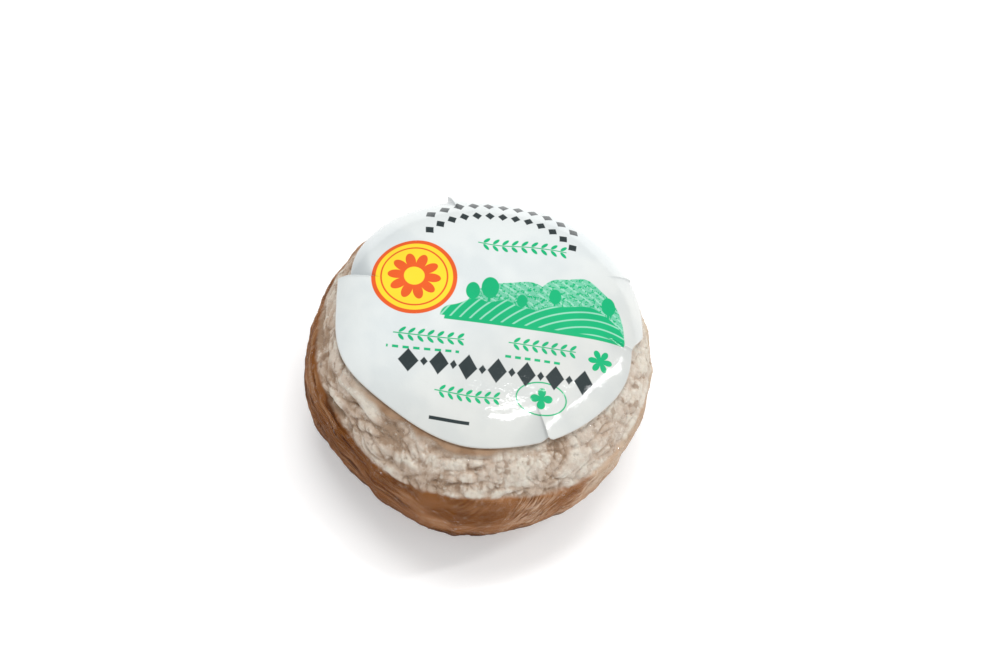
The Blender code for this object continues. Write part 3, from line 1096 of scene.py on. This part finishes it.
def label_colour(tree):
    """White paper with a green landscape, a yellow flower badge, and rows of ornament."""
    art = Print(tree)
    far, near = art.any_of(art.hill, FAR_HILLS), art.any_of(art.hill, NEAR_HILLS)
    slant = art.join("ADD", art.x, art.join("MULTIPLY", art.y, 1.6))
    frontward = art.join("MULTIPLY_ADD", art.x, 0.6, art.join("MULTIPLY", art.y, -0.8))
    layers = (
        (far, PALE_GREEN),
        (art.both(far, art.furrows(slant, 3.2, -0.6)), FURROW_GREEN),
        (green_mask(art, near, far), GREEN),
        (art.both(near, art.furrows(art.reach(art.away(*PLOUGHED_FROM)), 5, 0.8)), PALE_GREEN),
        (dark_mask(art), DARK),
        *badge_layers(art),
    )
    # Painted shade: the paper goes darker and less blue toward its front right
    return tree.layered(tree.mix(tree.span(frontward, -4, 16), WHITE_PAPER, PAPER_IN_PAINTED_SHADE), layers)


def label_material():
    """Glossy coated paper with its print."""
    tree = Tree(bpy.data.materials.new("label_paper"))
    place = tree.place()
    cloud = tree.span(tree.noise(place, 130, 2), 0.4, 0.62, 0, 0.6)
    # Tints of the paper's clouds, and painted shade in the corners beside its folds
    tints = ((cloud, CLOUD_TINT), (tree.value("shade"), FOLD_PAINTED_SHADE))
    colour = tree.layered(label_colour(tree), tints, "MULTIPLY")
    shader = tree.add("ShaderNodeBsdfPrincipled", {
        "Base Color": tree.mix(tree.span(tree.value("rim"), 0.4, 1, 0, 0.6), colour, CUT_PAPER),
        "Roughness": 0.34,
        "Specular IOR Level": 0.1,
        "Normal": tree.bump(tree.noise(place, 420), PAPER_BUMP, 0.25),
        "Coat Weight": 0.8,
        "Coat Roughness": 0.05,
        "Coat Normal": tree.bump(tree.noise(place, 800, 4), COAT_BUMP, 0.11),
    })
    return tree.finish(shader)


def build_floor():
    """A plain pale floor, which glows a little."""
    mesh = bpy.data.meshes.new("floor")
    signs = ((-1, -1), (1, -1), (1, 1), (-1, 1))
    mesh.from_pydata([(FLOOR_HALF * x, FLOOR_HALF * y, 0) for x, y in signs], [], [(0, 1, 2, 3)])
    tree = Tree(bpy.data.materials.new("floor"))
    shader = tree.add("ShaderNodeBsdfPrincipled", {
        "Base Color": FLOOR_COLOUR,
        "Roughness": 0.9,
        "Emission Color": WHITE,
        "Emission Strength": FLOOR_GLOW,
    })
    mesh.materials.append(tree.finish(shader))
    floor = add_object("floor", mesh)
    floor.location.z = -FLOOR_DROP


def add_area(name, place, size, power, mirrored=True):
    """A square soft light that faces the cheese, and that glossy surfaces mirror or not."""
    data = bpy.data.lights.new(name, "AREA")
    data.size = size
    data.energy = power
    light = add_object(name, data)
    light.visible_glossy = mirrored
    light.location = place
    toward = Vector((0, 0, HEIGHT / 2)) - Vector(place)
    light.rotation_euler = toward.to_track_quat("-Z", "Y").to_euler()


def build_lights():
    """Soft lights, the small lights of the glare, and even light from all round."""
    for light in LIGHTS:
        add_area(*light, mirrored=False)
    for row, (first, last, count) in enumerate(GLINT_ROWS):
        for i in range(count):
            place = Vector(first).lerp(Vector(last), i / (count - 1))
            add_area(f"glint_{row}_{i}", place, GLINT_SIZE, GLINT_POWER)
    world = Tree(bpy.data.worlds.new("studio"))
    path = world.add("ShaderNodeLightPath", {}).outputs
    strength = WORLD_LIGHT
    for ray, brightness in (("Is Glossy Ray", WORLD_REFLECTED), ("Is Camera Ray", WORLD_SEEN)):
        inputs = {"Value": path[ray], "To Min": strength, "To Max": brightness}
        strength = world.add("ShaderNodeMapRange", inputs).outputs[0]
    background = world.add("ShaderNodeBackground", {"Color": WHITE, "Strength": strength})
    bpy.context.scene.world = world.finish(background)


def build_camera(shift):
    """The photograph's view, steeply down from the front."""
    data = bpy.data.cameras.new("camera")
    data.sensor_width = SENSOR
    data.lens = PIXELS_PER_METRE * DISTANCE / PICTURE[0] * data.sensor_width
    data.shift_x = (PICTURE[0] / 2 - MIDDLE_AT[0]) / PICTURE[0]
    data.shift_y = (MIDDLE_AT[1] - PICTURE[1] / 2) / PICTURE[0]
    data.clip_start = 0.01
    camera = add_object("camera", data)
    tilt = math.radians(ELEVATION)
    turn = math.radians(ROLL)
    back = Vector((0, -math.cos(tilt), math.sin(tilt)))
    right = Vector((1, 0, 0))
    up = Vector((0, math.sin(tilt), math.cos(tilt)))
    turned_right = right * math.cos(turn) + up * math.sin(turn)
    turned_up = up * math.cos(turn) - right * math.sin(turn)
    matrix = Matrix((turned_right, turned_up, back)).transposed().to_4x4()
    matrix.translation = Vector((0, 0, HEIGHT / 2)) + shift + back * DISTANCE
    camera.matrix_world = matrix
    bpy.context.scene.camera = camera


def frame_shift():
    """From the cheese's own axis to the part's frame."""
    ring = [2 * math.pi * i / 360 for i in range(360)]
    low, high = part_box("wrapped_cheese")
    shift = Vector()
    for axis, along in enumerate((math.cos, math.sin)):
        line = [RADIUS * outline(theta) * along(theta) for theta in ring]
        shift[axis] = (low[axis] + high[axis]) / 2 - (min(line) + max(line)) / 2
    return shift


def main():
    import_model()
    section = Section()
    shift = frame_shift()
    rind, film, values = cheese_surfaces(section, shift)
    faces = ring_faces(len(ring_lengths(section)), CHEESE_SEGMENTS)
    ends = [(shift.x, shift.y, HEIGHT), (shift.x, shift.y, 0)]
    for numbers in values.values():
        numbers += [numbers[0], numbers[-1]]
    inner = [(shift.x, shift.y, HEIGHT - RIND_TOP), (shift.x, shift.y, RIND_BASE)]
    make_piece("rind", rind + inner, faces, values, rind_material(), "wrapped_cheese")
    make_piece("film", film + ends, faces, values, film_material(), "wrapped_cheese")
    build_label(section, shift, label_material())
    build_floor()
    build_lights()
    build_camera(shift)
    bpy.context.scene.view_settings.view_transform = "Standard"


main()
